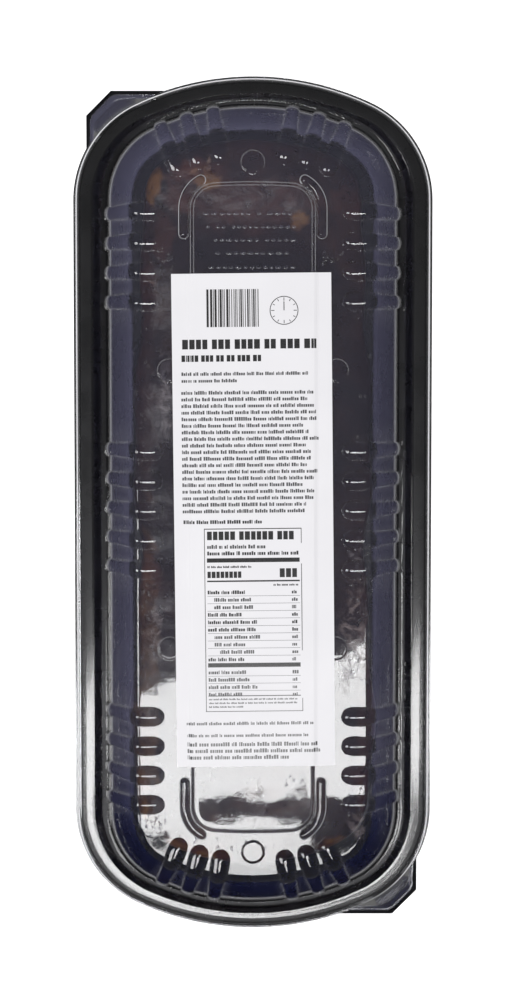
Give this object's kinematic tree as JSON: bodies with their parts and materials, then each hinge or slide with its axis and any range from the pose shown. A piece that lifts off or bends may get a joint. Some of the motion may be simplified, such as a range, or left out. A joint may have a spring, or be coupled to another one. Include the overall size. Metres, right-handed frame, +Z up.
{
  "type": "packed rack of ribs",
  "caption": "Rack of ribs in a shut long black tray under a clear, low, fluted lid with a white label stuck on top.",
  "frame": {"origin": "on the table, under the middle of the pack", "axes": "+Y along the pack, to the end where the label's bars are; +Z up, out of the lid"},
  "size_m": [0.172, 0.4108, 0.0625],
  "materials": {
    "tray": "black, smooth",
    "lid": "clear, slightly hazy",
    "label": "smooth coated paper",
    "ribs": "glazed with dark sauce"
  },
  "bodies": {
    "root": {"tray": "tray", "lid": "lid", "label": "label", "ribs": "ribs"}
  },
  "joints": []
}
